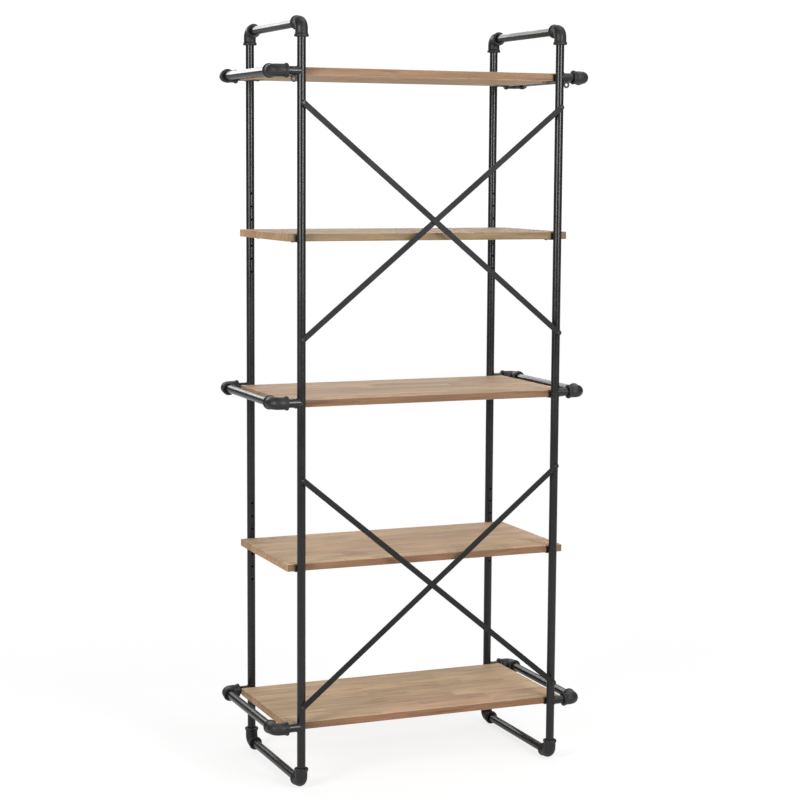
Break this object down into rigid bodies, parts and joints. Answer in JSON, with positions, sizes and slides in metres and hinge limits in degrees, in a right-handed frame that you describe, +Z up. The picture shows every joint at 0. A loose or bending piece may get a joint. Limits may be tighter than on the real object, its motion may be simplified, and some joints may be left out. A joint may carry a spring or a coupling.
{
  "type": "bookcase with adjustable shelves",
  "caption": "Tall open bookcase: a black pipe frame with gallery rails and crossed flat bars on one side carries pine boards, two of them adjustable in height.",
  "frame": {"origin": "on the floor, in the middle of the four uprights", "axes": "+Z up, -Y out of the braced side (the side that goes to the wall), +Y out of the open side, +X to the right of someone who faces the braced side"},
  "size_m": [0.821, 0.4089, 1.8],
  "materials": {
    "black_tube": "satin black powder coat",
    "black_casting": "satin black paint over a fine cast grain",
    "black_flat_bar": "satin black powder coat",
    "black_plate": "satin black powder coat",
    "black_fastener": "black oxide",
    "bare_steel": "zinc-plated tube",
    "pine_board": "finger-jointed pine boards, matt clear coat"
  },
  "bodies": {
    "frame": {"brace_inserts": "black_fastener", "brace_screws": "black_fastener", "brace_spacers": "black_fastener", "fixed_shelf_screws": "black_fastener", "foot_bar_left": "black_tube", "foot_bar_right": "black_tube", "foot_elbow_braced_left": "black_casting", "foot_elbow_braced_right": "black_casting", "foot_elbow_open_left": "black_casting", "foot_elbow_open_right": "black_casting", "high_rail_arms_left": "black_tube", "high_rail_arms_right": "black_tube", "high_rail_bar_left": "black_tube", "high_rail_bar_right": "black_tube", "high_rail_elbows_left": "black_casting", "high_rail_elbows_right": "black_casting", "low_rail_arms_left": "black_tube", "low_rail_arms_right": "black_tube", "low_rail_bar_left": "black_tube", "low_rail_bar_right": "black_tube", "low_rail_elbows_left": "black_casting", "low_rail_elbows_right": "black_casting", "lower_brace_falling": "black_flat_bar", "lower_brace_rising": "black_flat_bar", "middle_rail_arms_left": "black_tube", "middle_rail_arms_right": "black_tube", "middle_rail_bar_left": "black_tube", "middle_rail_bar_right": "black_tube", "middle_rail_elbows_left": "black_casting", "middle_rail_elbows_right": "black_casting", "shelf_bottom": "pine_board", "shelf_middle": "pine_board", "shelf_top": "pine_board", "supports_bottom": "black_plate", "supports_middle": "black_plate", "supports_top": "black_plate", "top_bar_left": "black_tube", "top_bar_right": "black_tube", "top_elbow_braced_left": "black_casting", "top_elbow_braced_right": "black_casting", "top_elbow_open_left": "black_casting", "top_elbow_open_right": "black_casting", "upper_brace_falling": "black_flat_bar", "upper_brace_rising": "black_flat_bar", "upright_braced_left_lower": "black_tube", "upright_braced_left_upper": "black_tube", "upright_braced_right_lower": "black_tube", "upright_braced_right_upper": "black_tube", "upright_open_left_lower": "black_tube", "upright_open_left_upper": "black_tube", "upright_open_right_lower": "black_tube", "upright_open_right_upper": "black_tube", "upright_sleeves": "bare_steel", "wall_anchor_eyes": "black_tube"},
    "lower_shelf": {"shelf_lower": "pine_board", "supports_lower": "black_plate", "screws_lower": "black_fastener"},
    "upper_shelf": {"shelf_upper": "pine_board", "supports_upper": "black_plate", "screws_upper": "black_fastener"}
  },
  "joints": [
    {"name": "lower_shelf_slide", "type": "slide", "parent": "frame", "child": "lower_shelf", "axis": [0, 0, 1], "range_m": [-0.096, 0.096]},
    {"name": "upper_shelf_slide", "type": "slide", "parent": "frame", "child": "upper_shelf", "axis": [0, 0, 1], "range_m": [-0.096, 0.096]}
  ]
}
